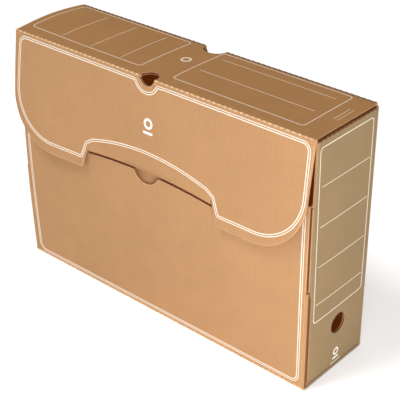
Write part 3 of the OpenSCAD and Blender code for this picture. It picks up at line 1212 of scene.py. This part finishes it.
def add_mark(build, cx, cy, size, place, flip=1.0, bar=True):
    """A plain generic mark: a ring over a short bar."""
    add_stroke(build, circle(cx, cy + flip * size * 0.2, size * 0.30, 28), size * 0.17, place, True, 1.2)
    if bar:
        half_w, half_h = size * 0.42, size * 0.09
        y = cy - flip * size * 0.45
        bar_loop = rounded(block(cx - half_w, cx + half_w, y - half_h, y + half_h), size * 0.07)
        add_patch(build, bar_loop, place)


def print_piece(name, build, body, colour):
    return build.finish(name, [MATERIALS[colour]], body, (), "white_print", smooth_angle=60)


flap_place = placer(flap_middle, -1)
lines = Build()
add_double(lines, flap_border(), flap_place, closed=True)
print_piece("flap_border_print", lines, "flap", "border_print")
lines = Build()
add_mark(lines, 0.0, 48.0, 15.0, flap_place, flip=-1.0)
print_piece("flap_print", lines, "flap", "white_print")

front_place = placer(front_middle, 1)
lines = Build()
border = rounded([(-185.4, 201), (-184.8, 6.4), (186.8, 7.7), (186.8, 201)], [0, 9, 8, 0], False)
add_double(lines, border, front_place)
print_piece("front_print", lines, "case", "border_print")

lid_place = placer(lid_middle, 1)
lines = Build()
for x0, x1 in ((-185.0, -28.0), (15.0, 170.0)):
    frame_line = rounded(block(x0, x1, Y_MID - 33.5, Y_MID + 42.5), 4.0)
    add_stroke(lines, frame_line, FRAME_WIDTH, lid_place, True)
for x in (-142.0, -100.0, -57.0):
    add_stroke(lines, [(x, Y_MID - 30.5), (x, Y_MID + 36.0)], RULE_WIDTH, lid_place)
for y in (29.0, -4.0):
    add_stroke(lines, [(24.0, Y_MID + y), (160.0, Y_MID + y)], RULE_WIDTH, lid_place)
for x in (182.0, 186.0):
    add_stroke(lines, [(x, Y_MID - 6.0), (x, Y_MID + 20.0)], FINE_WIDTH, lid_place)
add_mark(lines, -3.0, Y_MID + 3.0, 15.0, lid_place, bar=False)
print_piece("lid_print", lines, "lid", "lid_print")

for side, hand in SIDES:
    end_place = placer(end_middle(side), side)
    lines = Build()
    y0, y1 = Y_MID - 38.5, Y_MID + 40.0
    frame_line = rounded([(y0, 75.5), (y1, 77.0), (y1, 264.2), (y0 - 2.6, 264.2)], 4.0)
    add_stroke(lines, frame_line, FRAME_WIDTH, end_place, True)
    for z in (224.0, 182.0, 138.5, 96.0):
        add_stroke(lines, [(y0 + 2.5, z), (y1 - 2.5, z)], RULE_WIDTH, end_place)
    print_piece(hand + "_end_frame_print", lines, "case", "end_print")
    lines = Build()
    add_mark(lines, Y_MID + 2.5, 17.5, 11.5, end_place)
    add_stroke(lines, [(Y_MID - 6.0, 7.2), (Y_MID + 11.5, 7.2)], RULE_WIDTH, end_place)
    print_piece(hand + "_end_print", lines, "case", "white_print")


# ---- Floor, light and camera ----

def floor():
    """A wide sheet of white paper."""
    size = 20.0
    mesh = bpy.data.meshes.new("floor")
    mesh.from_pydata([(x, y, 0) for x, y in block(-size, size, -size, size)], [], [(0, 1, 2, 3)])
    paper, tree, shader = material("floor_paper")
    grain = noise(tree, object_place(tree), 300.0, 2.0)
    colour = mixed(tree, grain, (0.90, 0.90, 0.90, 1), (0.94, 0.94, 0.94, 1))
    tree.links.new(colour, shader.inputs["Base Color"])
    shader.inputs["Roughness"].default_value = 0.9
    shader.inputs["Specular IOR Level"].default_value = 0.1
    light_up(shader, (1.0, 1.0, 1.0, 1.0), 0.30)
    mesh.materials.append(paper)
    add_object("floor", mesh)


def area_light(name, place, target, size, power):
    lamp = bpy.data.lights.new(name, "AREA")
    lamp.shape = "DISK"
    lamp.size = size
    lamp.energy = power
    made = add_object(name, lamp)
    made.location = place
    made.rotation_euler = (Vector(target) - Vector(place)).to_track_quat("-Z", "Y").to_euler()


def world(front, rear):
    """A pale studio that is brighter in front of the box than behind it."""
    sky = bpy.data.worlds.new("studio")
    sky.use_nodes = True
    tree = sky.node_tree
    back = tree.nodes["Background"]
    back.inputs["Color"].default_value = (1, 1, 1, 1)
    way = node(tree, "ShaderNodeTexCoord").outputs["Generated"]
    depth = node(tree, "ShaderNodeSeparateXYZ", {"Vector": way}).outputs["Y"]
    strength = mul_add(tree, depth, (rear - front) / 2, (rear + front) / 2)
    tree.links.new(strength, back.inputs["Strength"])
    bpy.context.scene.world = sky


def camera(place, around, above, roll):
    """A camera that looks from a place. Its angles are around from the front, above level, and its roll."""
    lens = bpy.data.cameras.new("camera")
    lens.sensor_width = 36
    lens.lens = 100.44
    lens.clip_start = 0.01
    made = add_object("camera", lens)
    around, above, roll = (math.radians(a) for a in (around, above, roll))
    turn = Matrix.Rotation(around, 4, "Z") @ Matrix.Rotation(math.pi / 2 - above, 4, "X")
    made.matrix_world = Matrix.Translation(place) @ turn @ Matrix.Rotation(roll, 4, "Z")
    bpy.context.scene.camera = made


floor()
world(0.38, 0.56)
area_light("key", (-0.5, -1.2, 2.8), (0, 0, 0.1), 0.9, 44)
area_light("near", (0.62, -0.55, 0.20), (0.14, 0, 0.10), 0.45, 3.9)
camera((0.679830, Y_MID * MM - 0.742140, 0.713359), 41.6933, 30.5426, -0.5150)
bpy.context.scene.view_settings.view_transform = "Standard"
